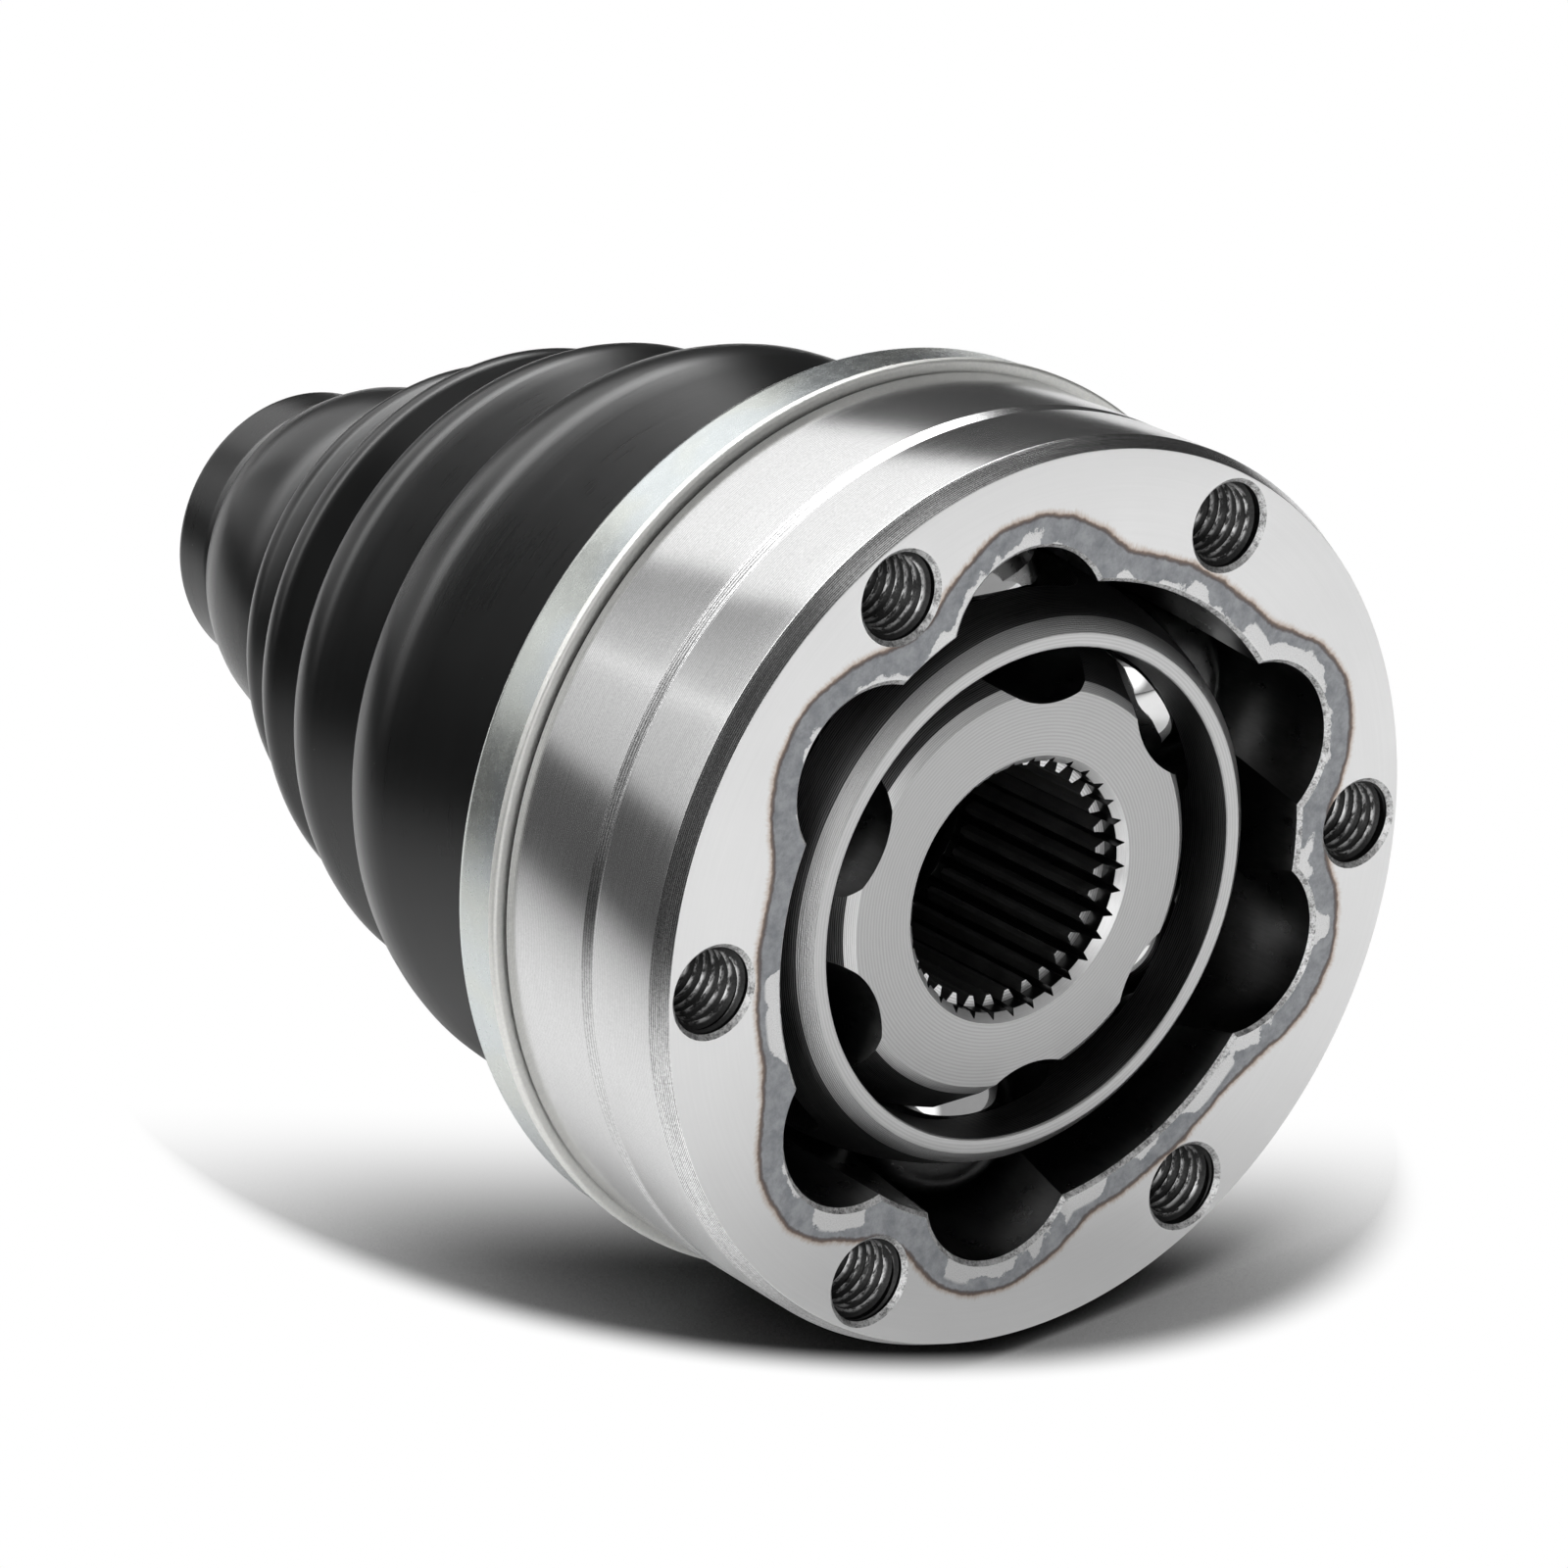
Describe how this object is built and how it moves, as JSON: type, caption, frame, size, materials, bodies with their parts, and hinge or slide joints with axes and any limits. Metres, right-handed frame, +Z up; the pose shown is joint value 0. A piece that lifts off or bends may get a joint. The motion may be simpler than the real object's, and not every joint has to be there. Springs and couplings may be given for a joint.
{
  "type": "cv joint",
  "caption": "Plunging cross-groove CV joint: bolt-on outer race with skewed ball tracks, splined inner race, balls in a cage, and a convoluted rubber boot in a steel can.",
  "frame": {"origin": "centre of the bolt circle, on the flange face of the outer race", "axes": "+Y along the joint's axis from the flange face towards the small end of the boot, +Z up, +X to the right seen from the flange side; the joint lies on its side"},
  "size_m": [0.1106, 0.1545, 0.1106],
  "materials": {
    "race_steel": "ground and turned steel, with an induction-hardened edge around the ball tracks",
    "hub_steel": "turned steel face, dark hardened flanks",
    "cage_steel": "dark turned steel",
    "can_zinc": "bright zinc plating",
    "seal_rubber": "matt black",
    "boot_rubber": "satin black",
    "ball_steel": "polished bearing ball"
  },
  "bodies": {
    "housing": {"outer_race": "race_steel", "boot_can": "can_zinc", "can_seal": "seal_rubber", "boot": "boot_rubber"},
    "inner_race": {"inner_race": "hub_steel"},
    "ball_cage": {"ball_cage": "cage_steel"},
    "ball_1": {"ball_1": "ball_steel"},
    "ball_2": {"ball_2": "ball_steel"},
    "ball_3": {"ball_3": "ball_steel"},
    "ball_4": {"ball_4": "ball_steel"},
    "ball_5": {"ball_5": "ball_steel"},
    "ball_6": {"ball_6": "ball_steel"}
  },
  "joints": [
    {"name": "articulation", "type": "hinge", "parent": "housing", "child": "inner_race", "pos_m": [0, 0.02, 0], "axis": [0.9981, 0, -0.061], "range_deg": [-20, 20]},
    {"name": "cage_tilt", "type": "hinge", "parent": "housing", "child": "ball_cage", "pos_m": [0, 0.02, 0], "axis": [0.9981, 0, -0.061], "range_deg": [-10, 10]},
    {"name": "ball_1_travel", "type": "slide", "parent": "housing", "child": "ball_1", "axis": [-0.1023, 0.9734, 0.2051], "range_m": [-0.00293, 0.00293]},
    {"name": "ball_2_travel", "type": "slide", "parent": "housing", "child": "ball_2", "axis": [0.2288, 0.9734, -0.014], "range_m": [-0.00585, 0.00585]},
    {"name": "ball_3_travel", "type": "slide", "parent": "housing", "child": "ball_3", "axis": [-0.1265, 0.9734, -0.1911], "range_m": [-0.00293, 0.00293]},
    {"name": "ball_4_travel", "type": "slide", "parent": "housing", "child": "ball_4", "axis": [-0.1023, 0.9734, 0.2051], "range_m": [-0.00293, 0.00293]},
    {"name": "ball_5_travel", "type": "slide", "parent": "housing", "child": "ball_5", "axis": [0.2288, 0.9734, -0.014], "range_m": [-0.00585, 0.00585]},
    {"name": "ball_6_travel", "type": "slide", "parent": "housing", "child": "ball_6", "axis": [-0.1265, 0.9734, -0.1911], "range_m": [-0.00293, 0.00293]}
  ],
  "couplings": [
    {"joint": "cage_tilt", "follows": "articulation", "ratio": 0.5},
    {"joint": "ball_1_travel", "follows": "articulation", "m_per_rad": -0.0083806},
    {"joint": "ball_2_travel", "follows": "articulation", "m_per_rad": -0.016748},
    {"joint": "ball_3_travel", "follows": "articulation", "m_per_rad": -0.0083806},
    {"joint": "ball_4_travel", "follows": "articulation", "m_per_rad": 0.0083806},
    {"joint": "ball_5_travel", "follows": "articulation", "m_per_rad": 0.016748},
    {"joint": "ball_6_travel", "follows": "articulation", "m_per_rad": 0.0083806}
  ]
}
